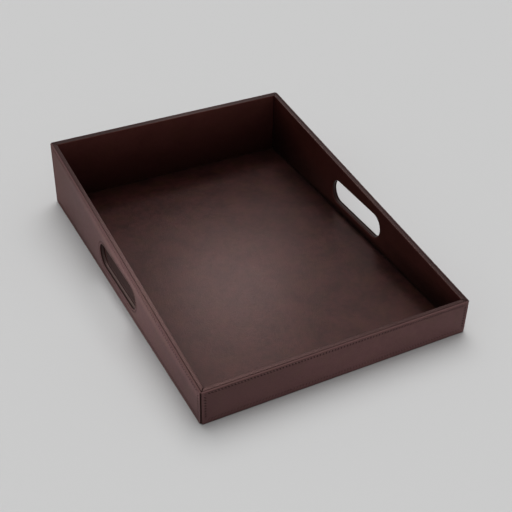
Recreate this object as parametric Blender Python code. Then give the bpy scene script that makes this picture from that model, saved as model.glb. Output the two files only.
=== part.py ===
"""Leather-covered tray with a low front, a high back and a hand slot in each side wall.

Four mitred wall boards stand round a base board. Each wall has a leather panel outside and a
leather lining inside that is turned over the rim, up to a narrow groove beside the panel.
A leather band lines each hand slot, a leather sheet covers the floor, and a soft sheet covers
the underside. The origin is the middle of the underside: X to the right, Y to the back, Z up.
"""
import math

import bmesh
import bpy
from mathutils import Matrix, Vector

# Overall size
TRAY_WIDTH = 0.360
TRAY_DEPTH = 0.500
FRONT_HEIGHT = 0.048
BACK_HEIGHT = 0.097

# Clearance between pieces that touch
FIT_GAP = 0.0003

# Wall layers, from the outside in
PANEL_THICKNESS = 0.0018
WALL_BOARD_THICKNESS = 0.0038
LINING_THICKNESS = 0.0018

# Bottom layers, from the ground up
COVER_THICKNESS = 0.0010
BASE_BOARD_THICKNESS = 0.0026
FLOOR_LINING_THICKNESS = 0.0012
PANEL_GROUND_CLEARANCE = 0.0004

# Hand slots, in the middle of the side walls
SLOT_LENGTH = 0.124
SLOT_HEIGHT = 0.035
SLOT_CENTRE_HEIGHT = 0.035
SLOT_LINER_THICKNESS = 0.0012
SLOT_END_STEPS = 14

# Leather edges
CORNER_ROUND = 0.0021
CORNER_ROUND_STEPS = 5
RIM_INNER_RADIUS = 0.0015
RIM_INNER_STEPS = 4
TURNED_EDGE_ROUND = 0.0005
TURNED_EDGE_STEPS = 2
TURNED_EDGE_ANGLE = math.radians(40)

# How far a cutter runs past what it cuts
CUT_OVERRUN = 0.010

# Insets of the layers from the outer face of the tray
BOARD_INSET = PANEL_THICKNESS + FIT_GAP
LINING_INSET = BOARD_INSET + WALL_BOARD_THICKNESS + FIT_GAP
WALL_THICKNESS = LINING_INSET + LINING_THICKNESS

# Heights of the bottom layers
BOARD_FOOT = COVER_THICKNESS + FIT_GAP
BASE_TOP = BOARD_FOOT + BASE_BOARD_THICKNESS
LINING_FOOT = BASE_TOP + FIT_GAP
FLOOR_TOP = LINING_FOOT + FLOOR_LINING_THICKNESS

# A gap between two mitred ends, as each wall's own share measured along the wall
MITRE_SETBACK = FIT_GAP * math.sqrt(0.5)

# Each wall's turn about Z from the front, its length and the tray's size across it
WALLS = {
    "front": (0.0, TRAY_WIDTH, TRAY_DEPTH),
    "right": (math.pi / 2, TRAY_DEPTH, TRAY_WIDTH),
    "back": (math.pi, TRAY_WIDTH, TRAY_DEPTH),
    "left": (-math.pi / 2, TRAY_DEPTH, TRAY_WIDTH),
}
SIDE_WALLS = ("left", "right")


def clear_scene():
    """Remove every object, so that the file holds the tray alone."""
    for item in list(bpy.data.objects):
        bpy.data.objects.remove(item, do_unlink=True)


def finish_material(name, color, roughness):
    """A plain Principled material."""
    material = bpy.data.materials.new(name)
    material.use_nodes = True
    shader = material.node_tree.nodes["Principled BSDF"]
    shader.inputs["Base Color"].default_value = (*color, 1.0)
    shader.inputs["Roughness"].default_value = roughness
    shader.inputs["Metallic"].default_value = 0.0
    return material


def outer_leather(name):
    """Burgundy-brown leather of the outer panels."""
    return finish_material(name, (0.115, 0.062, 0.058), 0.48)


def inner_leather(name):
    """The same leather inside, a little darker."""
    return finish_material(name, (0.095, 0.050, 0.046), 0.50)


def board_wood(name):
    """Pressed wood board."""
    return finish_material(name, (0.42, 0.31, 0.20), 0.85)


def underside_suede(name):
    """Dark suede of the underside."""
    return finish_material(name, (0.050, 0.035, 0.032), 0.95)


def rim_height(y):
    """Height of the rim's plane, which rises evenly from the front edge to the back edge."""
    rise_share = y / TRAY_DEPTH + 0.5
    return FRONT_HEIGHT + (BACK_HEIGHT - FRONT_HEIGHT) * rise_share


def at_height(height):
    """A profile height that stays level."""
    return lambda y: height


def below_rim(drop):
    """A profile height that follows the rim, lower by drop."""
    return lambda y: rim_height(y) - drop


def add_object(name, bm, material):
    """Turn a bmesh into a smooth-shaded object with outward faces."""
    bmesh.ops.recalc_face_normals(bm, faces=bm.faces[:])
    mesh = bpy.data.meshes.new(name)
    bm.to_mesh(mesh)
    bm.free()
    mesh.shade_smooth()
    mesh.set_sharp_from_angle(angle=TURNED_EDGE_ANGLE)
    item = bpy.data.objects.new(name, mesh)
    bpy.context.scene.collection.objects.link(item)
    if material is not None:
        mesh.materials.append(material)
    return item


def round_corners(bm, wall):
    """Round the two upright edges where a panel's outer face meets its mitred ends."""
    turn, _, across = WALLS[wall]
    outward = Matrix.Rotation(turn, 3, "Z") @ Vector((0.0, -1.0, 0.0))
    nearest_inner_face = across / 2 - PANEL_THICKNESS / 2
    edges = []
    for edge in bm.edges:
        start, end = (vert.co for vert in edge.verts)
        upright = (start - end).xy.length < PANEL_THICKNESS / 2
        on_outer_face = min(start.dot(outward), end.dot(outward)) > nearest_inner_face
        if upright and on_outer_face:
            edges.append(edge)
    bmesh.ops.bevel(
        bm,
        geom=edges,
        offset=CORNER_ROUND,
        offset_type="OFFSET",
        segments=CORNER_ROUND_STEPS,
        profile=0.5,
        affect="EDGES",
    )


def wall_strip(wall, profile):
    """Run a closed profile along a wall and mitre both ends.

    The profile is a list of (inset, height): inset from the tray's outer face, and a height
    function of Y.
    """
    turn, length, across = WALLS[wall]
    to_tray = Matrix.Rotation(turn, 3, "Z")
    bm = bmesh.new()
    loops = []
    for end in (-1, 1):
        loop = []
        for inset, height in profile:
            along = end * (length / 2 - inset - MITRE_SETBACK)
            spot = to_tray @ Vector((along, inset - across / 2, 0.0))
            spot.z = height(spot.y)
            loop.append(bm.verts.new(spot))
        loops.append(loop)
        bm.faces.new(loop)
    first, last = loops
    for index in range(len(profile)):
        following = (index + 1) % len(profile)
        bm.faces.new((first[index], first[following], last[following], last[index]))
    return bm


def stadium(length, height):
    """Points (along, up) of a slot outline with round ends, about its centre."""
    radius = height / 2
    points = []
    for side in (1, -1):
        for step in range(SLOT_END_STEPS + 1):
            angle = math.pi * (step / SLOT_END_STEPS - 0.5)
            along = side * (length / 2 - radius + radius * math.cos(angle))
            points.append((along, side * radius * math.sin(angle)))
    return points


def slot_loop(bm, wall, inset, growth):
    """A loop of vertices on a side wall's slot outline, grown all round, at an inset."""
    turn, _, across = WALLS[wall]
    to_tray = Matrix.Rotation(turn, 3, "Z")
    outline = stadium(SLOT_LENGTH + 2 * growth, SLOT_HEIGHT + 2 * growth)
    return [
        bm.verts.new(to_tray @ Vector((along, inset - across / 2, SLOT_CENTRE_HEIGHT + up)))
        for along, up in outline
    ]


def bridge(bm, loop_a, loop_b):
    """Quads between two closed loops with as many vertices."""
    for index in range(len(loop_a)):
        following = (index + 1) % len(loop_a)
        bm.faces.new((loop_a[index], loop_a[following], loop_b[following], loop_b[index]))


def slot_cutter(wall, growth, name):
    """A closed slot-shaped prism through a side wall."""
    bm = bmesh.new()
    outside = slot_loop(bm, wall, -CUT_OVERRUN, growth)
    inside = slot_loop(bm, wall, WALL_THICKNESS + CUT_OVERRUN, growth)
    bridge(bm, outside, inside)
    bm.faces.new(outside)
    bm.faces.new(inside)
    cutter = add_object(name, bm, None)
    cutter.hide_render = True
    cutter.display_type = "WIRE"
    return cutter


def cut_slot(item, cutter):
    """Cut the slot through a wall piece."""
    cut = item.modifiers.new("hand slot", "BOOLEAN")
    cut.operation = "DIFFERENCE"
    cut.solver = "EXACT"
    cut.object = cutter


def soften_edges(item):
    """Round every leather edge slightly, as a turned edge is."""
    soft = item.modifiers.new("turned edges", "BEVEL")
    soft.width = TURNED_EDGE_ROUND
    soft.segments = TURNED_EDGE_STEPS
    soft.limit_method = "ANGLE"
    soft.angle_limit = TURNED_EDGE_ANGLE


def flat_sheet(name, inset, foot, top, material):
    """A level rectangular sheet at an inset from the tray's outer faces."""
    half_x = TRAY_WIDTH / 2 - inset
    half_y = TRAY_DEPTH / 2 - inset
    bm = bmesh.new()
    bmesh.ops.create_cube(bm, size=1.0)
    bmesh.ops.scale(bm, vec=(2 * half_x, 2 * half_y, top - foot), verts=bm.verts[:])
    bmesh.ops.translate(bm, vec=(0.0, 0.0, (top + foot) / 2), verts=bm.verts[:])
    return add_object(name, bm, material)


def build_board(wall):
    """A wall board, from the underside cover up to under the turned lining."""
    top = below_rim(LINING_THICKNESS + FIT_GAP)
    foot = at_height(BOARD_FOOT)
    inner = BOARD_INSET + WALL_BOARD_THICKNESS
    bm = wall_strip(wall, [(BOARD_INSET, foot), (BOARD_INSET, top), (inner, top), (inner, foot)])
    return add_object(wall + "_board", bm, board_wood(wall + " board"))


def build_outer_panel(wall):
    """An outer leather panel, as high as the rim, with rounded upright corners."""
    top = below_rim(0.0)
    foot = at_height(PANEL_GROUND_CLEARANCE)
    bm = wall_strip(wall, [(0.0, foot), (0.0, top), (PANEL_THICKNESS, top), (PANEL_THICKNESS, foot)])
    round_corners(bm, wall)
    return add_object(wall + "_outer_panel", bm, outer_leather(wall + " panel leather"))


def build_lining(wall):
    """An inner leather lining that turns over the rim with a rounded inner edge."""
    foot = at_height(LINING_FOOT)
    turned_under = below_rim(LINING_THICKNESS)
    profile = [(WALL_THICKNESS, foot), (LINING_INSET, foot), (LINING_INSET, turned_under)]
    profile += [(BOARD_INSET, turned_under), (BOARD_INSET, below_rim(0.0))]
    for step in range(RIM_INNER_STEPS + 1):
        angle = math.pi / 2 * (1 - step / RIM_INNER_STEPS)
        inset = WALL_THICKNESS - RIM_INNER_RADIUS * (1 - math.cos(angle))
        drop = RIM_INNER_RADIUS * (1 - math.sin(angle))
        profile.append((inset, below_rim(drop)))
    bm = wall_strip(wall, profile)
    return add_object(wall + "_lining", bm, inner_leather(wall + " lining leather"))


def build_handle_liner(wall):
    """The leather band inside a hand slot, between the outer panel and the lining."""
    outer_inset = BOARD_INSET
    inner_inset = BOARD_INSET + WALL_BOARD_THICKNESS
    bm = bmesh.new()
    loops = [
        slot_loop(bm, wall, outer_inset, 0.0),
        slot_loop(bm, wall, inner_inset, 0.0),
        slot_loop(bm, wall, inner_inset, SLOT_LINER_THICKNESS),
        slot_loop(bm, wall, outer_inset, SLOT_LINER_THICKNESS),
    ]
    for index, loop in enumerate(loops):
        bridge(bm, loop, loops[(index + 1) % len(loops)])
    return add_object(wall + "_handle_liner", bm, inner_leather(wall + " handle leather"))


def build_side_slot(wall, panel, board, lining):
    """Cut one side wall's layers for its hand slot and line the slot."""
    open_cutter = slot_cutter(wall, 0.0, wall + "_slot_cutter")
    board_cutter = slot_cutter(wall, SLOT_LINER_THICKNESS + FIT_GAP, wall + "_board_slot_cutter")
    cut_slot(panel, open_cutter)
    cut_slot(lining, open_cutter)
    cut_slot(board, board_cutter)
    build_handle_liner(wall)


def build_wall(wall):
    """One wall: its board between its outer panel and its lining."""
    panel = build_outer_panel(wall)
    board = build_board(wall)
    lining = build_lining(wall)
    if wall in SIDE_WALLS:
        build_side_slot(wall, panel, board, lining)
    soften_edges(panel)
    soften_edges(lining)


def build_bottom():
    """The underside cover, the base board and the floor's leather."""
    flat_sheet("underside_cover", BOARD_INSET, 0.0, COVER_THICKNESS, underside_suede("underside suede"))
    flat_sheet("base_board", LINING_INSET, BOARD_FOOT, BASE_TOP, board_wood("base board"))
    floor_inset = WALL_THICKNESS + FIT_GAP
    floor = flat_sheet("floor_lining", floor_inset, LINING_FOOT, FLOOR_TOP, inner_leather("floor leather"))
    soften_edges(floor)


def build_tray():
    """Build every piece of the tray."""
    clear_scene()
    build_bottom()
    for wall in WALLS:
        build_wall(wall)


build_tray()
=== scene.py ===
"""Looks of the leather tray, built round its CAD frame.

Each wall has a stitched outer panel with turned edges, and a lining that turns over the rim.
The panels meet in a seam groove at each corner, and the linings in a mitre. Each hand slot has
a leather band inside and a sewn ring outside. Each vertex of the leather carries a wear
value, which the material reads: it is paler on worn edges and where light is painted, and darker
where shade is painted into holes, creases, grooves, seams and the walls' feet. Sizes are in metres,
+Z up, +Y to the high back.
"""
import math
import random
from collections import namedtuple

import bmesh
import bpy
from mathutils import Matrix, Vector


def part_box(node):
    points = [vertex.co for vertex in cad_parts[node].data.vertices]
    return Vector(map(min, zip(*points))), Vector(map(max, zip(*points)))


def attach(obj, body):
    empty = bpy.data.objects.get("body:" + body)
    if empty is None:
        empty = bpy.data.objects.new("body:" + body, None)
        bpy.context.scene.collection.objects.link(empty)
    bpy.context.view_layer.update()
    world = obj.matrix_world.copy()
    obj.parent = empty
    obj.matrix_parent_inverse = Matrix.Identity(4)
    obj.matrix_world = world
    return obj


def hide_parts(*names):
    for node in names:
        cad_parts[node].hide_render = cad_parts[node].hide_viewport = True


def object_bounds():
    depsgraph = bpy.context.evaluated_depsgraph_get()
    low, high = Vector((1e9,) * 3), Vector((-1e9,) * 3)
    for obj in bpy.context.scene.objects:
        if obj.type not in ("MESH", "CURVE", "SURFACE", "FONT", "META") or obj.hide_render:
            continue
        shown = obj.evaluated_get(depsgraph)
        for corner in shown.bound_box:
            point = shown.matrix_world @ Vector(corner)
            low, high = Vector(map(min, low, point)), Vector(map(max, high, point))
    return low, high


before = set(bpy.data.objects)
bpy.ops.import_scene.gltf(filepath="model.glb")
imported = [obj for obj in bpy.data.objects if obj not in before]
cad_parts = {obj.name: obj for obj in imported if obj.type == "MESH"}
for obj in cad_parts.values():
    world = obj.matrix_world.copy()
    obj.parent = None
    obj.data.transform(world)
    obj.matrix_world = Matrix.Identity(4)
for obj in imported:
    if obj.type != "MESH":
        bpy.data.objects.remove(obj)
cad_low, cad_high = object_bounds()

# Sizes read from the frame, and the slot bands' thickness, which no box there gives
TRAY_WIDTH = cad_high.x - cad_low.x
TRAY_DEPTH = cad_high.y - cad_low.y
front_board_low, front_board_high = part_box("front_board")
_, back_board_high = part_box("back_board")
front_lining_low, front_lining_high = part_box("front_lining")
front_panel_low, front_panel_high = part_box("front_outer_panel")
floor_low, floor_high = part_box("floor_lining")
slot_band_low, slot_band_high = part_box("left_handle_liner")
BOARD_INSET = front_board_low.y - cad_low.y
BOARD_INNER_INSET = front_board_high.y - cad_low.y
PANEL_THICKNESS = front_panel_high.y - front_panel_low.y
PANEL_FOOT = front_panel_low.z
WALL_THICKNESS = front_lining_high.y - cad_low.y
LINING_FOOT = front_lining_low.z
FIT_GAP = BOARD_INSET - PANEL_THICKNESS
LINING_INSET = BOARD_INNER_INSET + FIT_GAP
LINING_THICKNESS = WALL_THICKNESS - LINING_INSET
MITRE_SETBACK = FIT_GAP * math.sqrt(0.5)
SLOT_BAND_THICKNESS = 0.0012
SLOT_LENGTH = slot_band_high.y - slot_band_low.y - 2 * SLOT_BAND_THICKNESS
SLOT_HEIGHT = slot_band_high.z - slot_band_low.z - 2 * SLOT_BAND_THICKNESS
SLOT_CENTRE_HEIGHT = (slot_band_high.z + slot_band_low.z) / 2

# Stitching, and how much one stitch differs from another
STITCH_PITCH = 0.0040
STITCH_LENGTH = 0.0027
LENGTH_SPREAD = 0.03
STITCH_SLANT = math.radians(7)
SLANT_SPREAD = 0.04
THREAD_RADIUS = 0.00030
RADIUS_SPREAD = 0.06
THREAD_TAPER = 0.25
THREAD_SINK = 0.00004
THREAD_INSET = THREAD_RADIUS + THREAD_SINK
THREAD_DIVE = 0.0007
THREAD_SIDES = 6
THREAD_RINGS = 5
SLOT_STITCH_SEED = 10
TOP_ROW_DISTANCE = 0.0029
END_ROW_DISTANCE = 0.0058
BOTTOM_ROW_DISTANCE = 0.0064
SLOT_ROW_DISTANCE = 0.0030

# The crease that the stitching pulls into the leather, the needle's holes in it, and how much darker
# the holes are painted along some rows, as shade in them
CREASE_DEPTH = 0.00007
CREASE_FLANK_SHARE = 0.7
CREASE_HALF_WIDTH = 0.0013
CREASE_INNER_HALF_WIDTH = 0.00065
CREASE_SUPPORT = 0.0007
HOLE_DEPTH = 0.0010
HOLE_FLANK_DEPTH = 0.0005
HOLE_HALF_LENGTH_SHARE = 0.18
BOTTOM_ROW_MARKS = 1.6
END_ROW_MARKS = 1.6

# Turned edges and rounded corners of the outer panels
EDGE_SUPPORT = 0.00035
EDGE_STEPS = 5
TURN_OUTER_RADIUS = 0.00045
TURN_GROOVE_RADIUS = 0.00030
TURN_CROWN = 0.00005
TOP_TURN_WIDTH = 0.0025
TOP_TURN_DROP = 0.0017
TOP_TURN_WEAR = 0.15
BOTTOM_TURN_DROP = TURN_GROOVE_RADIUS + 2 * TURN_CROWN
# The foot's turned edge is painted dark, as the shade under the panel
BOTTOM_TURN_SHADE = -0.7
# How dark the groove side of a turned edge and of the rim is painted, as shade in the grooves
GROOVE_SHADE = 0.6
PANEL_TOP_CORNER = 0.0008
PANEL_BOTTOM_CORNER = 0.0030
PANEL_ROW_CORNER = 0.0006
CORNER_STEPS = 4

# The seam groove between two panels: its distance from the corner, the share of each half-round end
# that is painted dark, as shade in the groove, and how much paler the rest of it is
SEAM_DISTANCE = 0.0013
SEAM_DARK_SHARE = 0.75
SEAM_RUB = 0.5

# The rim, where the linings turn over the boards, the shares of the way across it that have a point,
# and the seam at the linings' mitred ends, painted dark as shade along its width
RIM_STEPS = 8
RIM_INNER_RADIUS = 0.0010
RIM_GROOVE_RADIUS = 0.0004
RIM_GROOVE_INSET = 0.0028
RIM_CROWN = 0.00003
RIM_SHARES = (0.9, 0.7, 0.5, 0.3, 0.1)
RIM_RUB = 0.3
MITRE_SEAM_WIDTH = 0.0002
MITRE_SEAM_SHADE = -0.8

# How a turned end rounds off: (distance from the mitre, how far the leather draws in there)
MITRE_ROUNDING = ((0.0, 0.00045), (0.00012, 0.00020), (0.00035, 0.00006), (0.0007, 0.0), (0.0013, 0.0))

# The lips that turn into the slots, their thinned backs, and the bands inside the slots; each lip is
# paler where it bends, worn on the panel and a painted highlight on the lining
PANEL_LIP_REACH = 0.0009
PANEL_LIP_DEPTH = 0.0009
PANEL_LIP_RUB = 0.25
LINING_LIP_REACH = 0.0028
LINING_LIP_DEPTH = 0.0016
LINING_LIP_HIGHLIGHT = 1.0
SLOT_LIP_STEPS = 6
EDGE_SKIVE = 0.00015
BAND_EDGE_RADIUS = 0.0007

# The floor's sheet: how far its rounded edge lies below its face, its corners, and how its face
# dips towards the walls, as (distance from its edge, depth, wear), whose negative value
# paints shade by the walls
FLOOR_EDGE_DROP = 0.0003
FLOOR_CORNER_RADIUS = 0.0010
FLOOR_DIPS = ((0.0020, 0.00012, -0.3), (0.0045, 0.00003, 0.0), (0.0070, 0.0, 0.0))

# The rounding of the underside cover's edges
UNDERSIDE_EDGE_WIDTH = 0.0003
UNDERSIDE_EDGE_STEPS = 3

# Each wall's turn about Z from the front, its length and the tray's size across it
Wall = namedtuple("Wall", "turn length across")
WALLS = {
    "front": Wall(0.0, TRAY_WIDTH, TRAY_DEPTH),
    "right": Wall(math.pi / 2, TRAY_DEPTH, TRAY_WIDTH),
    "back": Wall(math.pi, TRAY_WIDTH, TRAY_DEPTH),
    "left": Wall(-math.pi / 2, TRAY_DEPTH, TRAY_WIDTH),
}
SIDE_WALLS = ("left", "right")

# Each wall's leather at its foot, fading towards the rim: shade painted darker on the linings inside,
# and light painted paler on the front panel outside
INNER_FOOT_SHADE = {"front": -1.0, "right": -1.0, "back": -0.35, "left": -1.0}
OUTER_FOOT_LIGHT = {"front": 0.7, "right": 0.0, "back": 0.0, "left": 0.0}


# Places on the tray

def rim_height(y):
    """Height of the rim's plane, which lies one lining thickness and gap above the wall boards."""
    rise = (back_board_high.z - front_board_high.z) / (back_board_high.y - front_board_high.y)
    return front_board_high.z + LINING_THICKNESS + FIT_GAP + rise * (y - front_board_high.y)


def on_wall(wall, along, inset, height):
    """A point given by its distance along a wall, its inset from the outer face and its height."""
    turn, _, across = WALLS[wall]
    spot = Matrix.Rotation(turn, 3, "Z") @ Vector((along, inset - across / 2, 0.0))
    spot.z = height
    return spot


def rim_on_wall(wall, along, inset):
    """Height of the rim above a point of a wall."""
    return rim_height(on_wall(wall, along, inset, 0.0).y)


def outward(wall):
    """The direction that a wall's outer face looks in."""
    return Matrix.Rotation(WALLS[wall].turn, 3, "Z") @ Vector((0.0, -1.0, 0.0))


def fillet(before, corner, after, radius, steps):
    """Points of an arc that rounds a corner between two straight lines, in two dimensions."""
    to_before = (before - corner).normalized()
    to_after = (after - corner).normalized()
    half_angle = to_before.angle(to_after) / 2
    reach = radius / math.tan(half_angle)
    middle = (to_before + to_after).normalized()
    centre = corner + middle * (radius / math.sin(half_angle))
    start = corner + to_before * reach - centre
    end = corner + to_after * reach - centre
    sweep = start.angle_signed(end)
    return [
        centre + Matrix.Rotation(-sweep * step / steps, 2) @ start
        for step in range(steps + 1)
    ]


def stitch_count(length):
    """Number of stitches that fill a row."""
    return max(1, round(length / STITCH_PITCH))


# How a row's leather dips at a needle hole, beside it and between two holes, and its wear
# there: shade painted into and beside the holes, and paler leather between them
Dent = namedtuple("Dent", "hole beside between")
NO_DENT = Dent((0.0, 0.0), (0.0, 0.0), (0.0, 0.0))
BRIM_DENT = Dent((0.0, -0.7), (0.0, 0.0), (0.0, 0.0))
FLANK_DENT = Dent((HOLE_FLANK_DEPTH, -1.0), (0.0, -0.25), (0.0, 0.3))
HOLE_DENT = Dent((HOLE_DEPTH, -1.0), (HOLE_FLANK_DEPTH, -1.0), (-CREASE_DEPTH / 2, 0.3))


def stitch_marks(count, dent):
    """(share of the row, dip, wear) along a row of stitches, from its first hole."""
    marks = []
    for stitch in range(count):
        marks.append((stitch / count, *dent.hole))
        marks.append(((stitch + HOLE_HALF_LENGTH_SHARE) / count, *dent.beside))
        marks.append(((stitch + 0.5) / count, *dent.between))
        marks.append(((stitch + 1 - HOLE_HALF_LENGTH_SHARE) / count, *dent.beside))
    return marks


# Meshes

def add_piece(name, bm, material, slot, *nodes):
    """A smooth piece with the mesh given, which rides on the tray and stands for the nodes given."""
    bmesh.ops.recalc_face_normals(bm, faces=bm.faces[:])
    mesh = bpy.data.meshes.new(name)
    bm.to_mesh(mesh)
    bm.free()
    mesh.shade_smooth()
    mesh.materials.append(material)
    piece = bpy.data.objects.new(name, mesh)
    bpy.context.scene.collection.objects.link(piece)
    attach(piece, "root")
    if nodes:
        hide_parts(*nodes)


class Skin:
    """A closed leather mesh in the making. Its wear is 1 on worn edges and painted light, -1 in painted
    shade.
    """

    def __init__(self):
        self.bm = bmesh.new()
        self.wear = self.bm.verts.layers.float.new("wear")

    def vert(self, spot, wear):
        """One vertex."""
        vert = self.bm.verts.new(spot)
        vert[self.wear] = wear
        return vert

    def loop(self, places):
        """A row of vertices, given as (point, wear)."""
        return [self.vert(spot, wear) for spot, wear in places]

    def bridge(self, loop_a, loop_b):
        """Quads between two closed loops with as many vertices."""
        for index in range(len(loop_a)):
            after = (index + 1) % len(loop_a)
            self.bm.faces.new((loop_a[index], loop_a[after], loop_b[after], loop_b[index]))

    def bridge_all(self, loops):
        """Quads between each loop and the next."""
        for first, second in zip(loops, loops[1:]):
            self.bridge(first, second)

    def fill(self, *loops):
        """Triangles across a flat outline, around the holes that further loops leave."""
        edges = []
        for loop in loops:
            for index, vert in enumerate(loop):
                pair = (vert, loop[(index + 1) % len(loop)])
                edges.append(self.bm.edges.get(pair) or self.bm.edges.new(pair))
        bmesh.ops.triangle_fill(self.bm, edges=edges, use_beauty=True, use_dissolve=False)


# Outer panels

# A ring round a panel: (distance from the edge, inset, wear) at its top, ends and bottom, and its dents
Ring = namedtuple("Ring", "top end bottom dent")


def crease_profile():
    """(offset from the stitching, depth, wear, dents) across the crease that the stitching pulls."""
    flank = CREASE_DEPTH * CREASE_FLANK_SHARE
    return (
        (-CREASE_HALF_WIDTH, 0.0, 0.0, BRIM_DENT),
        (-CREASE_INNER_HALF_WIDTH, flank, 0.0, FLANK_DENT),
        (0.0, CREASE_DEPTH, 0.0, HOLE_DENT),
        (CREASE_INNER_HALF_WIDTH, flank, 0.0, FLANK_DENT),
        (CREASE_HALF_WIDTH, 0.0, 0.0, BRIM_DENT),
        (CREASE_HALF_WIDTH + CREASE_SUPPORT, 0.0, 0.0, NO_DENT),
    )


def turned_edge(width, drop, wear):
    """(distance from the edge, inset, wear) round a turned edge, from the leather's back to its face.

    The turned edge is as wide as given, starts at the back by the drop given below its top, and
    has the wear given on its outer bend. Its back and its groove side are painted dark, as
    shade in the groove.
    """
    section = [(drop + EDGE_SUPPORT, PANEL_THICKNESS, -1.0), (drop, width, -1.0)]
    for step in range(EDGE_STEPS + 1):
        angle = math.pi / 2 * step / EDGE_STEPS
        distance = TURN_CROWN + TURN_GROOVE_RADIUS * (1 - math.sin(angle))
        inset = width - TURN_GROOVE_RADIUS * (1 - math.cos(angle))
        section.append((distance, inset, min(wear, (step / EDGE_STEPS - 1.0) * GROOVE_SHADE)))
    section.append((0.0, (width - TURN_GROOVE_RADIUS + TURN_OUTER_RADIUS) / 2, wear))
    for step in range(EDGE_STEPS + 1):
        angle = math.pi / 2 * step / EDGE_STEPS
        distance = TURN_CROWN + TURN_OUTER_RADIUS * (1 - math.cos(angle))
        inset = TURN_OUTER_RADIUS * (1 - math.sin(angle))
        section.append((distance, inset, wear * math.cos(angle)))
    return section


def seam_edge(count):
    """(distance from the corner, inset, wear) round a panel's half-round end, from its back to its face."""
    radius = PANEL_THICKNESS / 2
    section = []
    for step in range(count):
        share = step / (count - 1)
        angle = math.pi * (share - 0.5)
        distance = SEAM_DISTANCE + radius * (1 - math.cos(angle))
        # Most of the end is painted dark, as shade in the seam groove
        wear = -1.0 if share < SEAM_DARK_SHARE else SEAM_RUB
        section.append((distance, radius * (1 - math.sin(angle)), wear))
    return section


def panel_rings(foot_light=0.0):
    """The rings of a panel from the back of its turned edge to just inside its stitching."""
    tops = turned_edge(TOP_TURN_WIDTH, TOP_TURN_DROP, TOP_TURN_WEAR)
    bottoms = turned_edge(PANEL_THICKNESS, BOTTOM_TURN_DROP, BOTTOM_TURN_SHADE)
    ends = seam_edge(len(tops))
    rings = [Ring(*places, NO_DENT) for places in zip(tops, ends, bottoms)]
    supports = [
        (section[-1][0] + EDGE_SUPPORT, 0.0, wear)
        for section, wear in ((tops, 0.0), (ends, SEAM_RUB), (bottoms, 0.0))
    ]
    rings.append(Ring(*supports, NO_DENT))
    for offset, depth, wear, dent in crease_profile():
        paleness = SEAM_RUB if offset == -CREASE_HALF_WIDTH else 0.0
        rings.append(Ring(
            (TOP_ROW_DISTANCE + offset, depth, wear),
            (END_ROW_DISTANCE + offset, depth, wear + paleness),
            # The bottom row carries the painted light of the panel's foot
            (BOTTOM_ROW_DISTANCE + offset, depth, wear + foot_light),
            dent,
        ))
    return rings


def panel_corners(wall, ring):
    """The corners of a ring in the wall's plane, from the bottom left round to the top left."""
    half = WALLS[wall].length / 2 - ring.end[0] - MITRE_SETBACK
    bottom = PANEL_FOOT + ring.bottom[0]
    return [
        Vector((-half, bottom)),
        Vector((half, bottom)),
        Vector((half, rim_on_wall(wall, half, ring.top[1]) - ring.top[0])),
        Vector((-half, rim_on_wall(wall, -half, ring.top[1]) - ring.top[0])),
    ]


def panel_arcs(wall, ring):
    """The four rounded corners of a ring, which get tighter from the edge to the stitching."""
    corners = panel_corners(wall, ring)
    arcs = []
    for index, corner in enumerate(corners):
        outer = PANEL_BOTTOM_CORNER if index < 2 else PANEL_TOP_CORNER
        side = ring.bottom if index < 2 else ring.top
        radius = max(outer - (side[0] + ring.end[0]) / 2, PANEL_ROW_CORNER)
        arcs.append(fillet(corners[index - 1], corner, corners[(index + 1) % 4], radius, CORNER_STEPS))
    return arcs


def panel_stitch_counts(wall):
    """Stitches along the bottom, right, top and left rows of a panel."""
    arcs = panel_arcs(wall, row_ring())
    return [
        stitch_count((arcs[(side + 1) % 4][0] - arcs[side][-1]).length)
        for side in range(4)
    ]


def row_ring():
    """The ring that the stitching follows."""
    return next(ring for ring in panel_rings() if ring.dent is HOLE_DENT)


def ring_spots(wall, ring, counts):
    """(point, wear) round a ring: each corner's arc, then the side that follows it."""
    arcs = panel_arcs(wall, ring)
    sides = [Vector(side[1:]) for side in (ring.bottom, ring.end, ring.top, ring.end)]
    row_marks = (BOTTOM_ROW_MARKS, END_ROW_MARKS, 1.0, END_ROW_MARKS)
    spots = []
    for side, (inset, wear) in enumerate(sides):
        for step, point in enumerate(arcs[side]):
            arc_inset, arc_wear_and_shade = sides[side - 1].lerp(sides[side], step / CORNER_STEPS)
            spots.append((on_wall(wall, point.x, arc_inset, point.y), arc_wear_and_shade))
        start = arcs[side][-1]
        end = arcs[(side + 1) % 4][0]
        for share, dip, mark_wear_and_shade in stitch_marks(counts[side], ring.dent)[1:]:
            point = start.lerp(end, share)
            mark_wear_and_shade = max(mark_wear_and_shade * row_marks[side], -1.0)
            spots.append((on_wall(wall, point.x, inset + dip, point.y), wear + mark_wear_and_shade))
    return spots


def build_outer_panel(wall, material):
    """A stitched outer panel, closed at the back, with its slot if it has one."""
    skin = Skin()
    counts = panel_stitch_counts(wall)
    rings = panel_rings(OUTER_FOOT_LIGHT[wall])
    loops = [skin.loop(ring_spots(wall, ring, counts)) for ring in rings]
    skin.bridge_all(loops)
    face_holes = []
    back_holes = []
    if wall in SIDE_WALLS:
        slot_loops = [skin.loop(slot_spots(wall, *place)) for place in panel_slot_profile()]
        skin.bridge_all(slot_loops)
        face_holes = [slot_loops[0]]
        back_holes = [slot_loops[-1]]
    skin.fill(loops[-1], *face_holes)
    skin.fill(loops[0], *back_holes)
    add_piece(wall + "_panel_leather", skin.bm, material, "outer_leather", wall + "_outer_panel")


# Hand slots

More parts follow.
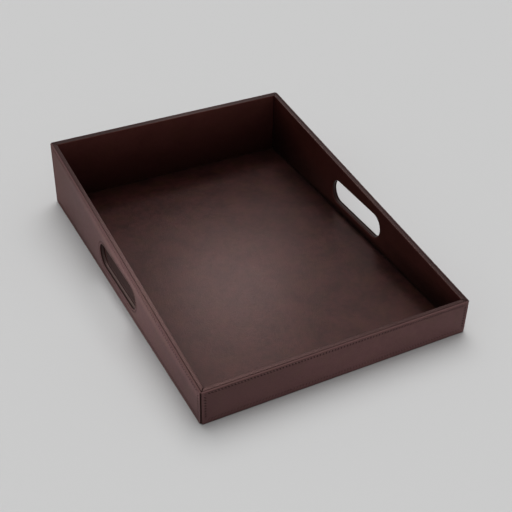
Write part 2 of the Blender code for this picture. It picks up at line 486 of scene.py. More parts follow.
def slot_outline(growth, dent):
    """(along, up, dip, wear) round the slot's outline, grown all round, about its centre."""
    straight = stitch_count(SLOT_LENGTH - SLOT_HEIGHT)
    end = stitch_count(math.pi * (SLOT_HEIGHT / 2 + SLOT_ROW_DISTANCE))
    radius = SLOT_HEIGHT / 2 + growth
    reach = (SLOT_LENGTH - SLOT_HEIGHT) / 2
    outline = []
    for side in (1, -1):
        for share, dip, wear in stitch_marks(end, dent):
            angle = math.pi * (share - 0.5)
            along = side * (reach + radius * math.cos(angle))
            outline.append((along, side * radius * math.sin(angle), dip, wear))
        for share, dip, wear in stitch_marks(straight, dent):
            outline.append((side * reach * (1 - 2 * share), side * radius, dip, wear))
    return outline


def slot_spots(wall, growth, inset, wear, dent=NO_DENT):
    """(point, wear) round a slot outline on a side wall."""
    return [
        (on_wall(wall, along, inset + dip, SLOT_CENTRE_HEIGHT + up), wear + mark_wear_and_shade)
        for along, up, dip, mark_wear_and_shade in slot_outline(growth, dent)
    ]


def slot_lip(reach, depth, thickness, paleness):
    """(growth, inset, wear) of a lip that turns from a leather face into the slot, and its back.

    The lip is paler where it bends, by the paleness given, and painted darker where it goes in, as shade.
    """
    lip = []
    for step in range(SLOT_LIP_STEPS + 1):
        share = step / SLOT_LIP_STEPS
        growth = reach * (1 - math.sin(math.pi / 2 * share))
        inset = depth * (1 - math.cos(math.pi / 2 * share))
        lip.append((growth, inset, paleness * math.sin(math.pi * share) - share ** 4))
    turned_in = thickness - EDGE_SKIVE
    return lip + [(0.0, turned_in, -1.0), (EDGE_SKIVE, thickness, -1.0)]


def panel_slot_profile():
    """(growth, inset, wear, dents) round a slot, from the panel's flat face into the slot."""
    profile = [
        (SLOT_ROW_DISTANCE + offset, depth, wear, dent)
        for offset, depth, wear, dent in reversed(crease_profile())
    ]
    lip = slot_lip(PANEL_LIP_REACH, PANEL_LIP_DEPTH, PANEL_THICKNESS, PANEL_LIP_RUB)
    return profile + [(PANEL_LIP_REACH + EDGE_SUPPORT, 0.0, 0.0)] + lip


def build_slot_band(wall, material):
    """The leather band inside a slot, rounded and painted dark, as shade, where it meets the panel and the
    lining.
    """
    skin = Skin()
    outer = BOARD_INSET
    inner = BOARD_INNER_INSET
    profile = []
    for step in range(SLOT_LIP_STEPS + 1):
        angle = math.pi / 2 * step / SLOT_LIP_STEPS
        growth = BAND_EDGE_RADIUS * (1 - math.sin(angle))
        profile.append((growth, outer + BAND_EDGE_RADIUS * (1 - math.cos(angle)), -math.cos(angle)))
    profile.append((0.0, (outer + inner) / 2, 0.0))
    for step in range(SLOT_LIP_STEPS + 1):
        angle = math.pi / 2 * (1 - step / SLOT_LIP_STEPS)
        growth = BAND_EDGE_RADIUS * (1 - math.sin(angle))
        profile.append((growth, inner - BAND_EDGE_RADIUS * (1 - math.cos(angle)), -math.cos(angle)))
    profile.append((SLOT_BAND_THICKNESS, inner, -1.0))
    profile.append((SLOT_BAND_THICKNESS, outer, -1.0))
    loops = [skin.loop(slot_spots(wall, *place)) for place in profile]
    skin.bridge_all(loops + [loops[0]])
    add_piece(wall + "_slot_band", skin.bm, material, "inner_leather", wall + "_handle_liner")


# Linings

# A corner of the lining's section: inset, drop below the rim or height, way out, and wear
Section = namedtuple("Section", "inset drop height out wear")


def below_crown(share):
    """How far the rim lies below its crown, at a share of the way from its groove to its inner edge."""
    return RIM_CROWN * (2 * share - 1) ** 2


def lining_section(wall):
    """The closed section of a lining: up the inner face, over the rim and down its back."""
    section = [
        # The foot is painted darker, as shade, fading towards the rim
        Section(WALL_THICKNESS, None, LINING_FOOT, (1, 0), INNER_FOOT_SHADE[wall]),
        Section(WALL_THICKNESS, RIM_INNER_RADIUS + 2 * EDGE_SUPPORT, None, (1, 0), 0.0),
    ]
    for step in range(RIM_STEPS + 1):
        angle = math.pi / 2 * step / RIM_STEPS
        inset = WALL_THICKNESS - RIM_INNER_RADIUS * (1 - math.cos(angle))
        drop = below_crown(1) + RIM_INNER_RADIUS * (1 - math.sin(angle))
        out = (math.cos(angle), math.sin(angle))
        section.append(Section(inset, drop, None, out, RIM_RUB * math.sin(2 * angle)))
    rim_start = WALL_THICKNESS - RIM_INNER_RADIUS
    rim_end = RIM_GROOVE_INSET + RIM_GROOVE_RADIUS
    for share in RIM_SHARES:
        inset = rim_end + (rim_start - rim_end) * share
        section.append(Section(inset, below_crown(share), None, (0, 1), 0.0))
    for step in range(RIM_STEPS + 1):
        share = step / RIM_STEPS
        angle = math.pi / 2 * (1 + share)
        inset = rim_end + RIM_GROOVE_RADIUS * math.cos(angle)
        drop = below_crown(0) + RIM_GROOVE_RADIUS * (1 - math.sin(angle))
        out = (math.cos(angle), math.sin(angle))
        # The rim groove is painted darker, as shade in it
        section.append(Section(inset, drop, None, out, -GROOVE_SHADE * share ** 2))
    section.append(Section(RIM_GROOVE_INSET, LINING_THICKNESS, None, (0, 0), -1.0))
    section.append(Section(LINING_INSET, LINING_THICKNESS, None, (0, 0), -1.0))
    section.append(Section(LINING_INSET, None, LINING_FOOT, (0, 0), -1.0))
    return section


def lining_loop(skin, wall, end, distance, shrink):
    """The lining's section near a wall's end, -1 at its left or 1 at its right, drawn in by shrink."""
    loop = []
    for corner in lining_section(wall):
        inset = corner.inset - shrink * corner.out[0]
        along = end * (WALLS[wall].length / 2 - inset - MITRE_SETBACK - distance)
        if corner.height is None:
            height = rim_on_wall(wall, along, inset) - corner.drop - shrink * corner.out[1]
        else:
            height = corner.height
        # The mitre seam is painted dark, as shade in it
        seam = MITRE_SEAM_SHADE if distance < MITRE_SEAM_WIDTH else 0.0
        loop.append(skin.vert(on_wall(wall, along, inset, height), corner.wear + seam))
    return loop


def build_lining(wall, material):
    """A lining with turned, mitred ends, and its slot if it has one."""
    skin = Skin()
    left_end = [lining_loop(skin, wall, -1, *place) for place in MITRE_ROUNDING]
    right_end = [lining_loop(skin, wall, 1, *place) for place in reversed(MITRE_ROUNDING)]
    skin.bm.faces.new(left_end[0])
    skin.bm.faces.new(right_end[-1])
    skin.bridge_all(left_end)
    skin.bridge_all(right_end)
    start = left_end[-1]
    end = right_end[0]
    count = len(start)
    inner_face = 0
    back_face = count - 2
    for index in range(count):
        after = (index + 1) % count
        if wall in SIDE_WALLS and index in (inner_face, back_face):
            continue
        skin.bm.faces.new((start[index], start[after], end[after], end[index]))
    if wall in SIDE_WALLS:
        # The lining's lip has a painted highlight where it bends
        lip = slot_lip(LINING_LIP_REACH, LINING_LIP_DEPTH, LINING_THICKNESS, LINING_LIP_HIGHLIGHT)
        support = (LINING_LIP_REACH + EDGE_SUPPORT, 0.0, 0.0)
        slot_loops = [
            skin.loop(slot_spots(wall, growth, WALL_THICKNESS - depth, wear))
            for growth, depth, wear in [support] + lip
        ]
        skin.bridge_all(slot_loops)
        for index, hole in ((inner_face, slot_loops[0]), (back_face, slot_loops[-1])):
            outline = [start[index], start[index + 1], end[index + 1], end[index]]
            skin.fill(outline, hole)
    add_piece(wall + "_lining_leather", skin.bm, material, "inner_leather", wall + "_lining")


# Tray floor

def build_floor_leather(material):
    """The sheet on the tray's floor, which dips a little towards the walls."""
    skin = Skin()
    edge = (floor_high.z - floor_low.z) / 2
    arc_rise = edge - FLOOR_EDGE_DROP / 2
    profile = [(edge, floor_low.z, 0.0)]
    for step in range(RIM_STEPS + 1):
        angle = math.pi * (step / RIM_STEPS - 0.5)
        height = floor_low.z + arc_rise * (1 + math.sin(angle))
        # The sheet's rounded edge at the walls' feet is painted dark, as shade
        profile.append((edge * (1 - math.cos(angle)), height, -1.0))
    for distance, depth, wear in FLOOR_DIPS:
        profile.append((distance, floor_high.z - depth, wear))
    loops = []
    for distance, height, wear in profile:
        half_x = floor_high.x - distance
        half_y = floor_high.y - distance
        corners = [Vector((half_x * x, half_y * y)) for x, y in ((-1, -1), (1, -1), (1, 1), (-1, 1))]
        spots = []
        for index, corner in enumerate(corners):
            after = corners[(index + 1) % 4]
            arc = fillet(corners[index - 1], corner, after, FLOOR_CORNER_RADIUS, CORNER_STEPS)
            spots += [(Vector((point.x, point.y, height)), wear) for point in arc]
        loops.append(skin.loop(spots))
    skin.bridge_all(loops)
    skin.fill(loops[0])
    skin.fill(loops[-1])
    add_piece("tray_floor_leather", skin.bm, material, "floor_leather", "floor_lining")


# Stitches

def add_stitch(bm, thread_map, centre, along, out, rng):
    """One stitch: a short thread that dives into the leather at both ends."""
    slant = STITCH_SLANT + rng.uniform(-SLANT_SPREAD, SLANT_SPREAD)
    along = Matrix.Rotation(slant, 3, out) @ along
    side = out.cross(along)
    half_length = STITCH_LENGTH / 2 * rng.uniform(1 - LENGTH_SPREAD, 1 + LENGTH_SPREAD)
    radius = THREAD_RADIUS * rng.uniform(1 - RADIUS_SPREAD, 1 + RADIUS_SPREAD)
    rings = []
    for ring in range(THREAD_RINGS):
        place = 2 * ring / (THREAD_RINGS - 1) - 1
        middle = centre + along * (half_length * place) - out * (THREAD_DIVE * place ** 4)
        thick = radius * (1 - THREAD_TAPER * place ** 2)
        spots = []
        for step in range(THREAD_SIDES):
            angle = 2 * math.pi * step / THREAD_SIDES
            spots.append(middle + (out * math.cos(angle) + side * math.sin(angle)) * thick)
        rings.append([bm.verts.new(spot) for spot in spots])
    for number, (first, second) in enumerate(zip(rings, rings[1:])):
        for step in range(THREAD_SIDES):
            after = (step + 1) % THREAD_SIDES
            face = bm.faces.new((first[step], first[after], second[after], second[step]))
            corners = ((number, step), (number, step + 1), (number + 1, step + 1), (number + 1, step))
            for corner, (ring, turn) in zip(face.loops, corners):
                corner[thread_map].uv = (ring / (THREAD_RINGS - 1), turn / THREAD_SIDES)
    bm.faces.new(rings[0])
    bm.faces.new(rings[-1])


def stitching(name, stitches, material, seed):
    """One object with a row of stitches, given as (centre, direction along, direction out)."""
    rng = random.Random(seed)
    bm = bmesh.new()
    thread_map = bm.loops.layers.uv.new("thread")
    for centre, along, out in stitches:
        add_stitch(bm, thread_map, centre, along, out, rng)
    add_piece(name, bm, material, "outer_leather")


def panel_stitches(wall):
    """Stitches along the four rows of a panel."""
    arcs = panel_arcs(wall, row_ring())
    stitches = []
    for side, count in enumerate(panel_stitch_counts(wall)):
        start = arcs[side][-1]
        end = arcs[(side + 1) % 4][0]
        ends = [on_wall(wall, point.x, THREAD_INSET, point.y) for point in (start, end)]
        along = (ends[1] - ends[0]).normalized()
        for stitch in range(count):
            stitches.append((ends[0].lerp(ends[1], (stitch + 0.5) / count), along, outward(wall)))
    return stitches


def slot_stitches(wall):
    """Stitches round a slot."""
    holes = [
        on_wall(wall, along, THREAD_INSET, SLOT_CENTRE_HEIGHT + up)
        for along, up, dip, _ in slot_outline(SLOT_ROW_DISTANCE, HOLE_DENT)
        if dip == HOLE_DEPTH
    ]
    stitches = []
    for index, before in enumerate(holes):
        after = holes[(index + 1) % len(holes)]
        stitches.append(((before + after) / 2, (after - before).normalized(), outward(wall)))
    return stitches


# Materials

# A Mix node's sockets when it mixes colours: its factor and two colours, and its result
MIX_INPUTS = (0, 6, 7)
MIX_RESULT = 2


class Nodes:
    """A material's node tree, with short calls to add nodes and link them."""

    def __init__(self, name):
        self.material = bpy.data.materials.new(name)
        self.material.use_nodes = True
        self.tree = self.material.node_tree
        self.tree.nodes.clear()

    def add(self, kind, sockets=None, **settings):
        """A node with its settings, and socket values or links by name or number."""
        node = self.tree.nodes.new("ShaderNode" + kind)
        for name, value in settings.items():
            setattr(node, name, value)
        for name, value in (sockets or {}).items():
            if isinstance(value, bpy.types.NodeSocket):
                self.tree.links.new(value, node.inputs[name])
            else:
                node.inputs[name].default_value = value
        return node

    def mix(self, factor, first, second, blend="MIX"):
        """The colour between two colours."""
        sockets = dict(zip(MIX_INPUTS, (factor, first, second)))
        return self.add("Mix", sockets, data_type="RGBA", blend_type=blend).outputs[MIX_RESULT]

    def math(self, operation, first, second=0.0):
        """The result of a calculation on one or two numbers."""
        return self.add("Math", {0: first, 1: second}, operation=operation).outputs[0]

    def noise(self, place, scale, detail=2.0, distortion=0.0):
        """Soft noise with the number of features to a metre given."""
        sockets = {"Vector": place, "Scale": scale, "Detail": detail, "Distortion": distortion}
        return self.add("TexNoise", sockets).outputs[0]

    def bump(self, height, strength, depth, **sockets):
        """The normal of a relief with the strength and depth given."""
        sockets.update({"Height": height, "Strength": strength, "Distance": depth})
        return self.add("Bump", sockets).outputs[0]

    def spread(self, value, low, high, new_low=0.0, new_high=1.0, easing="LINEAR"):
        """A number moved from one range to another."""
        sockets = {0: value, 1: low, 2: high, 3: new_low, 4: new_high}
        return self.add("MapRange", sockets, interpolation_type=easing).outputs[0]

    def fade(self, value, full, gone, easing="SMOOTHSTEP"):
        """A share that is 1 up to one number and falls to 0 at another."""
        return self.spread(value, full, gone, 1.0, 0.0, easing)

    def shade(self, sockets):
        """The material, finished with a shader that has the values and links given."""
        shader = self.add("BsdfPrincipled", sockets)
        self.add("OutputMaterial", {"Surface": shader.outputs[0]})
        return self.material


def rgba(color, factor=1.0):
    """A colour with full opacity, made darker or paler by a factor."""
    return (*(part * factor for part in color), 1.0)


# The colours of a leather: two tones of its dye, and where they differ, the painted tone of what faces
# up, for how light falls on it, the painted light round the slots and that on what faces up there, the
# painted shade of one end, and what the dye is multiplied by for the painted light under the rim
Dyes = namedtuple("Dyes", "base light top handled handled_top end rim_gain", defaults=(None,) * 5)

# The end of a leather that is painted darker, as shade: the colour, the axis along which it fades,
# where it starts to, and how far on it is gone
End = namedtuple("End", "color axis start reach")

# Where light is painted paler on the leather round the slots: its middle along the tray, how far it
# goes, and its share on the right, which gets less of it than the left
PAINTED_LIGHT_MIDDLE = -0.05
PAINTED_LIGHT_REACH = 0.23
PAINTED_LIGHT_ON_RIGHT = 0.1

# A band of painted light under the rim: how much paler, the depths below the rim where it starts to
# fade and is gone, and the places along the tray where it does
RIM_LIGHT_GAIN = 1.45
RIM_LIGHT_BAND = (0.007, 0.020)
RIM_LIGHT_BAND_ENDS = (0.10, 0.22)

# The leathers' dyes, with lit and shaded copies; the far walls are the right and the back, and have
# a darker painted top. The back lining has a paler painted base, the left slot's band is painted lit
# and the right one shaded, and some leathers have painted shade at one end
LEFT_SIDE = -TRAY_WIDTH / 2
BACK_SIDE = TRAY_DEPTH / 2
OUTER_DYES = Dyes(
    base=(0.106, 0.050, 0.051),
    light=(0.132, 0.062, 0.063),
    top=(0.072, 0.036, 0.036),
    handled=(0.215, 0.105, 0.105),
    handled_top=(0.105, 0.055, 0.055),
)
FRONT_OUTER_DYES = OUTER_DYES._replace(end=End((0.072, 0.033, 0.034), "X", LEFT_SIDE, 0.20))
LEFT_OUTER_DYES = OUTER_DYES._replace(
    end=End((0.104, 0.029, 0.024), "Y", BACK_SIDE, -0.13),
    rim_gain=RIM_LIGHT_GAIN,
)
FAR_OUTER_SHADED_DYES = OUTER_DYES._replace(top=(0.014, 0.007, 0.007))
INNER_DYES = Dyes(
    base=(0.054, 0.0138, 0.0110),
    light=(0.065, 0.0175, 0.0142),
    top=(0.018, 0.0085, 0.0085),
    handled_top=(0.084, 0.046, 0.045),
)
RIGHT_INNER_SHADED_DYES = INNER_DYES._replace(top=(0.005, 0.003, 0.003))
BACK_INNER_LIT_DYES = RIGHT_INNER_SHADED_DYES._replace(
    base=(0.090, 0.027, 0.023),
    light=(0.107, 0.033, 0.028),
)
LEFT_BAND_LIT_DYES = Dyes(base=(0.060, 0.040, 0.037), light=(0.074, 0.050, 0.046))
RIGHT_BAND_SHADED_DYES = Dyes(base=(0.0080, 0.0050, 0.0045), light=(0.0110, 0.0070, 0.0065))
FLOOR_DYES = Dyes(
    base=(0.0130, 0.0048, 0.0047),
    light=(0.0330, 0.0100, 0.0093),
    end=End((0.0020, 0.0010, 0.0010), "X", LEFT_SIDE, 0.045),
)

# The leathers' gloss, and how much of the olive tinge they have
OUTER_ROUGHNESS = 0.60
INNER_ROUGHNESS = 0.31
BAND_ROUGHNESS = 0.45
FLOOR_ROUGHNESS = 0.34
LEATHER_SHINE = 0.5
BACK_INNER_SHINE = 0.40
SHINE_TINT = (1.0, 0.54, 0.50)
TINGE_SHARE = 0.2
FLOOR_TINGE_SHARE = 0.8

# The noises of leather, in features to a metre, and the tinge's place in its fourth dimension
CLOUD_SCALE = 30.0
BLOTCH_SCALE = 130.0
TINGE_SCALE = 60.0
TINGE_SLICE = 4.0
PATCH_SCALE = 420.0
PEBBLE_SCALE = 900.0
PORE_SCALE = 2600.0
FOLD_SCALE = 330.0
WAVE_SCALE = 18.0

# The span that most of a noise lies in, and a narrower one for stronger contrast
NOISE_SPAN = (0.3, 0.7)
CONTRAST_SPAN = (0.35, 0.65)

# How the noises and the wear marks change leather's colour and gloss; a gain or shade
# multiplies the dye, and the crease shade is the painted shade
MOTTLE_RANGE = (0.38, 0.62)
FACES_UP_RANGE = (0.35, 0.8)
TINGE_RANGE = (0.45, 0.65)
OLIVE_TINGE = (0.95, 1.25, 0.80)
VALLEY_RANGE = (0.25, 0.65)
VALLEY_SHARE = 0.35
VALLEY_SHADE = 0.55
RUB_RANGE = (0.35, 0.7)
RUB_SHARES = (0.15, 0.5)
RUB_GAIN = 1.5
RUB_POLISH = 0.04
CREASE_SHARE = 0.95
CREASE_SHADE = 0.1
CREASE_ROUGHNESS = 0.35
ROUGHNESS_DROP = 0.02
ROUGHNESS_RISE = 0.03

# Leather's relief: pebbles with pores and folds on them, over a slow wave
PORE_SHARE = 0.35
FOLD_SHARE = 1.2
FOLD_DISTORTION = 0.6
GRAIN_STRENGTH = 0.40
GRAIN_DEPTH = 0.00016
WAVE_STRENGTH = 0.25
WAVE_DEPTH = 0.0015


def painted_light_share(nodes, parts):
    """How much painted light a place gets round the slots, given by the parts of its vector."""
    middle = nodes.math("ABSOLUTE", nodes.math("SUBTRACT", parts["Y"], PAINTED_LIGHT_MIDDLE))
    on_side = nodes.spread(parts["X"], LEFT_SIDE, -LEFT_SIDE, 1.0, PAINTED_LIGHT_ON_RIGHT)
    return nodes.math("MULTIPLY", nodes.fade(middle, 0.0, PAINTED_LIGHT_REACH), on_side)


def rim_light_share(nodes, parts):
    """How much of the painted light under the rim a place has."""
    slope = (rim_height(BACK_SIDE) - rim_height(0.0)) / BACK_SIDE
    rim = nodes.math("ADD", nodes.math("MULTIPLY", parts["Y"], slope), rim_height(0.0))
    below = nodes.math("SUBTRACT", rim, parts["Z"])
    along = nodes.fade(parts["Y"], *RIM_LIGHT_BAND_ENDS, easing="LINEAR")
    return nodes.math("MULTIPLY", nodes.fade(below, *RIM_LIGHT_BAND), along)


def leather_dye(nodes, place, dyes, tinge_share):
    """The mottled and tinged colour of a leather with its painted light and shade, before grain and marks.
    """
    parts = nodes.add("SeparateXYZ", {0: place}).outputs
    clouds = nodes.math("MULTIPLY", nodes.noise(place, CLOUD_SCALE), 0.5)
    blotches = nodes.math("MULTIPLY", nodes.noise(place, BLOTCH_SCALE, detail=3.0), 0.5)
    mottle = nodes.spread(nodes.math("ADD", clouds, blotches), *MOTTLE_RANGE)
    dye = nodes.mix(mottle, rgba(dyes.base), rgba(dyes.light))
    # One end is painted darker, as shade
    if dyes.end:
        end = dyes.end
        end_shade = nodes.fade(parts[end.axis], end.start, end.start + end.reach)
        dye = nodes.mix(end_shade, dye, rgba(end.color))
    handled = painted_light_share(nodes, parts) if dyes.handled_top else None
    # Painted light round the slots
    if dyes.handled:
        dye = nodes.mix(handled, dye, rgba(dyes.handled))
    # Painted light under the rim
    if dyes.rim_gain:
        gain = rgba([dyes.rim_gain] * 3)
        dye = nodes.mix(rim_light_share(nodes, parts), dye, gain, "MULTIPLY")
    # What faces up takes a painted tone, for how light falls on it
    if dyes.top:
        up = nodes.add("SeparateXYZ", {0: nodes.add("NewGeometry").outputs["Normal"]}).outputs["Z"]
        top = nodes.mix(handled, rgba(dyes.top), rgba(dyes.handled_top))
        dye = nodes.mix(nodes.spread(up, *FACES_UP_RANGE), dye, top)
    sockets = {"Vector": place, "W": TINGE_SLICE, "Scale": TINGE_SCALE, "Detail": 1.0}
    tinge = nodes.add("TexNoise", sockets, noise_dimensions="4D").outputs[0]
    tinged = nodes.spread(tinge, *TINGE_RANGE, 0.0, tinge_share)
    return nodes.mix(tinged, dye, rgba(OLIVE_TINGE), "MULTIPLY")


def leather_relief(nodes, place, pebbles):
    """The normal of a leather's grain over a slow wave."""
    grain = nodes.math(
        "ADD",
        nodes.math("MULTIPLY", pebbles, -1.0),
        nodes.math("MULTIPLY", nodes.noise(place, PORE_SCALE), PORE_SHARE),
    )
    folds = nodes.noise(place, FOLD_SCALE, distortion=FOLD_DISTORTION)
    grain = nodes.math("ADD", grain, nodes.math("MULTIPLY", folds, FOLD_SHARE))
    wave = nodes.bump(nodes.noise(place, WAVE_SCALE, detail=1.0), WAVE_STRENGTH, WAVE_DEPTH)
    return nodes.bump(grain, GRAIN_STRENGTH, GRAIN_DEPTH, Normal=wave)


def leather(name, dyes, roughness, tinge_share=TINGE_SHARE, shine=LEATHER_SHINE):
    """Fine pebbled leather: mottled dye, worn edges and painted light, painted shade in creases, grain and
    a slow wave.
    """
    nodes = Nodes(name)
    place = nodes.add("TexCoord").outputs["Object"]
    wear = nodes.add("Attribute", attribute_name="wear").outputs["Fac"]
    # Positive marks make the dye paler, worn leather and painted light; negative ones paint shade
    rubbed_and_lit = nodes.math("MAXIMUM", wear, 0.0)
    painted_shade = nodes.math("MAXIMUM", nodes.math("MULTIPLY", wear, -1.0), 0.0)
    patches = nodes.noise(place, PATCH_SCALE)
    pebbles = nodes.add(
        "TexVoronoi", {"Vector": place, "Scale": PEBBLE_SCALE}, feature="SMOOTH_F1"
    ).outputs[0]
    dye = leather_dye(nodes, place, dyes, tinge_share)
    valleys = nodes.spread(pebbles, *VALLEY_RANGE, 0.0, VALLEY_SHARE)
    dye = nodes.mix(valleys, dye, rgba(dyes.base, VALLEY_SHADE))
    rubbed_and_lit_share = nodes.math("MULTIPLY", rubbed_and_lit, nodes.spread(patches, *RUB_RANGE, *RUB_SHARES))
    dye = nodes.mix(rubbed_and_lit_share, dye, rgba(dyes.light, RUB_GAIN))
    dye = nodes.mix(nodes.math("MULTIPLY", painted_shade, CREASE_SHARE), dye, rgba(dyes.base, CREASE_SHADE))
    rough = nodes.spread(patches, *NOISE_SPAN, roughness - ROUGHNESS_DROP, roughness + ROUGHNESS_RISE)
    rough = nodes.math("SUBTRACT", rough, nodes.math("MULTIPLY", rubbed_and_lit, RUB_POLISH))
    rough = nodes.math("ADD", rough, nodes.math("MULTIPLY", painted_shade, CREASE_ROUGHNESS))
    return nodes.shade({
        "Base Color": dye,
        "Roughness": rough,
        "Normal": leather_relief(nodes, place, pebbles),
        "Specular IOR Level": shine,
        "Specular Tint": rgba(SHINE_TINT),
    })


# Thread, board and suede: their colours, the noises of each in features to a metre, the range of their
# roughness, and the strength and depth of their relief
THREAD_COLOR = (0.25, 0.125, 0.125)
THREAD_SHADE = 0.55
THREAD_TWIST = (5.0, 2.0, 1.0)
THREAD_TONE_SCALE = 160.0
THREAD_ROUGHNESS = (0.5, 0.62)
THREAD_RELIEF = (0.6, 0.0001)
PLY_WIDTH = 0.5
PLY_SHARE = 0.5
BOARD_COLORS = ((0.30, 0.21, 0.13), (0.52, 0.40, 0.27))
BOARD_FLECK_SCALE = 700.0
BOARD_ROUGHNESS = (0.75, 0.9)
BOARD_RELIEF = (0.5, 0.0002)
SUEDE_COLORS = ((0.030, 0.018, 0.016), (0.055, 0.036, 0.032))
SUEDE_NAP_SCALE = 900.0
SUEDE_NAP_STRETCH = (1.0, 3.0, 1.0)
SUEDE_BRUSH_SCALE = 14.0
SUEDE_ROUGHNESS = (0.85, 0.98)
SUEDE_RELIEF = (0.7, 0.0003)


def thread(name):
    """Waxed thread with a slanting twist."""
    nodes = Nodes(name)
    turns = nodes.add("UVMap", uv_map="thread").outputs[0]
    place = nodes.add("TexCoord").outputs["Object"]
    twist = nodes.add("Mapping", {"Vector": turns, "Scale": THREAD_TWIST}).outputs[0]
    plies = nodes.add(
        "TexWave", {"Vector": twist, "Scale": 1.0}, bands_direction="DIAGONAL", wave_profile="SIN"
    ).outputs["Fac"]
    tone = nodes.noise(place, THREAD_TONE_SCALE)
    dark = rgba(THREAD_COLOR, THREAD_SHADE)
    dye = nodes.mix(nodes.spread(tone, *NOISE_SPAN), dark, rgba(THREAD_COLOR))
    dye = nodes.mix(nodes.spread(plies, 0.0, PLY_WIDTH, PLY_SHARE, 0.0), dye, dark)
    return nodes.shade({
        "Base Color": dye,
        "Roughness": nodes.spread(tone, *NOISE_SPAN, *THREAD_ROUGHNESS),
        "Normal": nodes.bump(plies, *THREAD_RELIEF),
        "Sheen Weight": 0.15,
    })


def pressed_board(name):
    """Raw pressed fibre board with flecks."""
    nodes = Nodes(name)
    place = nodes.add("TexCoord").outputs["Object"]
    flecks = nodes.noise(place, BOARD_FLECK_SCALE, detail=6.0)
    dark, pale = BOARD_COLORS
    return nodes.shade({
        "Base Color": nodes.mix(nodes.spread(flecks, *CONTRAST_SPAN), rgba(dark), rgba(pale)),
        "Roughness": nodes.spread(flecks, *NOISE_SPAN, *BOARD_ROUGHNESS),
        "Normal": nodes.bump(flecks, *BOARD_RELIEF),
    })


def suede(name):
    """Dark suede with a brushed nap."""
    nodes = Nodes(name)
    place = nodes.add("TexCoord").outputs["Object"]
    stretched = nodes.add("Mapping", {"Vector": place, "Scale": SUEDE_NAP_STRETCH}).outputs[0]
    nap = nodes.noise(stretched, SUEDE_NAP_SCALE, detail=4.0)
    brushed = nodes.noise(place, SUEDE_BRUSH_SCALE, detail=3.0)
    dark, pale = SUEDE_COLORS
    return nodes.shade({
        "Base Color": nodes.mix(nodes.spread(brushed, *CONTRAST_SPAN), rgba(dark), rgba(pale)),
        "Roughness": nodes.spread(nap, *NOISE_SPAN, *SUEDE_ROUGHNESS),
        "Normal": nodes.bump(nap, *SUEDE_RELIEF),
        "Sheen Weight": 0.4,
        "Sheen Roughness": 0.5,
        "Specular IOR Level": 0.2,
    })


# CAD pieces that stay

def finish_node(node, material):
    """Give a CAD node its material."""
    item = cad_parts[node]
    item.data.materials.clear()
    item.data.materials.append(material)
    return item


def dress_boards():
    """Pressed board on the wall boards and the base board."""
    board = pressed_board("pressed_board")
    for wall in WALLS:
        finish_node(wall + "_board", board)
    finish_node("base_board", board)


def dress_underside():
    """Suede on the cover under the base, with soft edges."""
    cover = finish_node("underside_cover", suede("underside_suede"))
    soft = cover.modifiers.new("soft_edges", "BEVEL")
    soft.width = UNDERSIDE_EDGE_WIDTH
    soft.segments = UNDERSIDE_EDGE_STEPS
    soft.limit_method = "ANGLE"


# Scene

STAGE_GREY = 0.597
STAGE_RADIUS = 60.0
STAGE_SIDES = 96
WORLD_SHARE = 0.385

# Distant soft lamps: azimuth from +Y towards +X, elevation, width of the lit disc, share of the
# light, and whether it shows only as shine
Softbox = namedtuple("Softbox", "azimuth elevation width share shine")
SOFTBOXES = {
    "overhead_softbox": Softbox(0.0, math.radians(90), math.radians(40), 0.13, False),
    "back_softbox": Softbox(math.radians(27), math.radians(60), math.radians(50), 0.485, False),
    "high_shine": Softbox(math.radians(34), math.radians(57), math.radians(14), 0.066, True),
}

# A low strip near the tray's back that shows only as shine on the leather
STRIP_AZIMUTH = math.radians(24.5)
STRIP_ELEVATION = math.radians(43.5)
STRIP_DISTANCE = 0.60
STRIP_WIDTH = 0.20
STRIP_HEIGHT = 0.06
STRIP_RADIANCE = 8.8

CAMERA_PLACE = (-0.49443, -0.95880, 0.80919)
CAMERA_AZIMUTH = math.radians(-28.118)
CAMERA_ELEVATION = math.radians(36.581)
CAMERA_ROLL = math.radians(1.320)
CAMERA_LENS = 70.27
SENSOR_WIDTH = 36.0


def build_stage_floor():
    """The pale floor that the tray stands on."""
    paint = Nodes("pale_floor").shade({
        "Base Color": rgba([STAGE_GREY] * 3),
        "Roughness": 1.0,
        "Specular IOR Level": 0.0,
    })
    bm = bmesh.new()
    bmesh.ops.create_circle(bm, cap_ends=True, segments=STAGE_SIDES, radius=STAGE_RADIUS)
    mesh = bpy.data.meshes.new("stage_floor")
    bm.to_mesh(mesh)
    bm.free()
    mesh.materials.append(paint)
    floor = bpy.data.objects.new("stage_floor", mesh)
    bpy.context.scene.collection.objects.link(floor)


def toward(azimuth, elevation):
    """The direction to a lamp."""
    flat = math.cos(elevation)
    return Vector((flat * math.sin(azimuth), flat * math.cos(azimuth), math.sin(elevation)))


def add_lamp(name, kind, direction, energy):
    """A lamp that shines from the direction given onto the tray."""
    data = bpy.data.lights.new(name, kind)
    data.energy = energy
    lamp = bpy.data.objects.new(name, data)
    lamp.rotation_mode = "QUATERNION"
    lamp.rotation_quaternion = direction.to_track_quat("Z", "Y")
    bpy.context.scene.collection.objects.link(lamp)
    return lamp


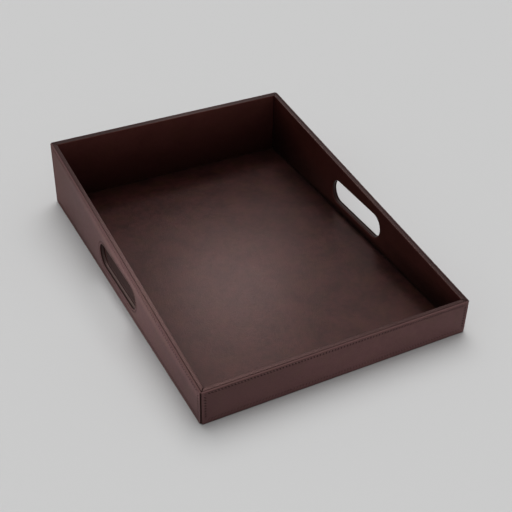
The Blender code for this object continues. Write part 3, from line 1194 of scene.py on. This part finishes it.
def build_light():
    """An even studio sky, soft lamps above and behind, and a strip that adds shine."""
    world = bpy.data.worlds.new("studio")
    world.use_nodes = True
    sky = world.node_tree.nodes["Background"]
    sky.inputs["Color"].default_value = (1.0, 1.0, 1.0, 1.0)
    sky.inputs["Strength"].default_value = WORLD_SHARE
    bpy.context.scene.world = world
    for name, box in SOFTBOXES.items():
        energy = math.pi * box.share / math.sin(box.elevation)
        lamp = add_lamp(name, "SUN", toward(box.azimuth, box.elevation), energy)
        lamp.data.angle = box.width
        lamp.visible_glossy = box.shine
        lamp.visible_diffuse = not box.shine
    direction = toward(STRIP_AZIMUTH, STRIP_ELEVATION)
    energy = math.pi * STRIP_WIDTH * STRIP_HEIGHT * STRIP_RADIANCE
    strip = add_lamp("shine_strip", "AREA", direction, energy)
    strip.location = direction * STRIP_DISTANCE
    strip.data.shape = "RECTANGLE"
    strip.data.size = STRIP_WIDTH
    strip.data.size_y = STRIP_HEIGHT
    strip.visible_camera = False
    strip.visible_diffuse = False


def build_camera():
    """The camera at the photograph's angle."""
    data = bpy.data.cameras.new("camera")
    data.lens = CAMERA_LENS
    data.sensor_width = SENSOR_WIDTH
    camera = bpy.data.objects.new("camera", data)
    level = math.cos(CAMERA_ELEVATION)
    forward = Vector((
        -math.sin(CAMERA_AZIMUTH) * level,
        math.cos(CAMERA_AZIMUTH) * level,
        -math.sin(CAMERA_ELEVATION),
    ))
    right = Vector((math.cos(CAMERA_AZIMUTH), math.sin(CAMERA_AZIMUTH), 0.0))
    right = Matrix.Rotation(-CAMERA_ROLL, 3, forward) @ right
    up = right.cross(forward)
    turn = Matrix((right, up, -forward)).transposed()
    camera.matrix_world = Matrix.Translation(CAMERA_PLACE) @ turn.to_4x4()
    bpy.context.scene.collection.objects.link(camera)
    bpy.context.scene.camera = camera


def wall_leathers():
    """The leathers of each wall's outer panel and lining, in copies with painted light and shade."""
    inner = leather("inner_leather", INNER_DYES, INNER_ROUGHNESS)
    far_outer = leather("far_outer_leather", FAR_OUTER_SHADED_DYES, OUTER_ROUGHNESS)
    outers = {
        "front": leather("front_outer_leather", FRONT_OUTER_DYES, OUTER_ROUGHNESS),
        "right": far_outer,
        "back": far_outer,
        "left": leather("left_outer_leather", LEFT_OUTER_DYES, OUTER_ROUGHNESS),
    }
    inners = {
        "front": inner,
        "right": leather("right_lining_leather", RIGHT_INNER_SHADED_DYES, INNER_ROUGHNESS),
        "back": leather("back_lining_leather", BACK_INNER_LIT_DYES, INNER_ROUGHNESS, shine=BACK_INNER_SHINE),
        "left": inner,
    }
    return outers, inners


def build_tray():
    """Dress every piece of the tray."""
    outers, inners = wall_leathers()
    # The slots' bands: the left painted lit, the right painted shaded
    bands = {
        "left": leather("left_band_leather", LEFT_BAND_LIT_DYES, BAND_ROUGHNESS),
        "right": leather("right_band_leather", RIGHT_BAND_SHADED_DYES, BAND_ROUGHNESS),
    }
    sewing = thread("waxed_thread")
    for number, wall in enumerate(WALLS):
        build_outer_panel(wall, outers[wall])
        build_lining(wall, inners[wall])
        stitching(wall + "_panel_stitches", panel_stitches(wall), sewing, number)
    for number, wall in enumerate(SIDE_WALLS):
        build_slot_band(wall, bands[wall])
        stitching(wall + "_slot_stitches", slot_stitches(wall), sewing, SLOT_STITCH_SEED + number)
    build_floor_leather(leather("floor_leather", FLOOR_DYES, FLOOR_ROUGHNESS, FLOOR_TINGE_SHARE))
    dress_boards()
    dress_underside()


build_tray()
build_stage_floor()
build_light()
build_camera()
bpy.context.scene.view_settings.view_transform = "Standard"
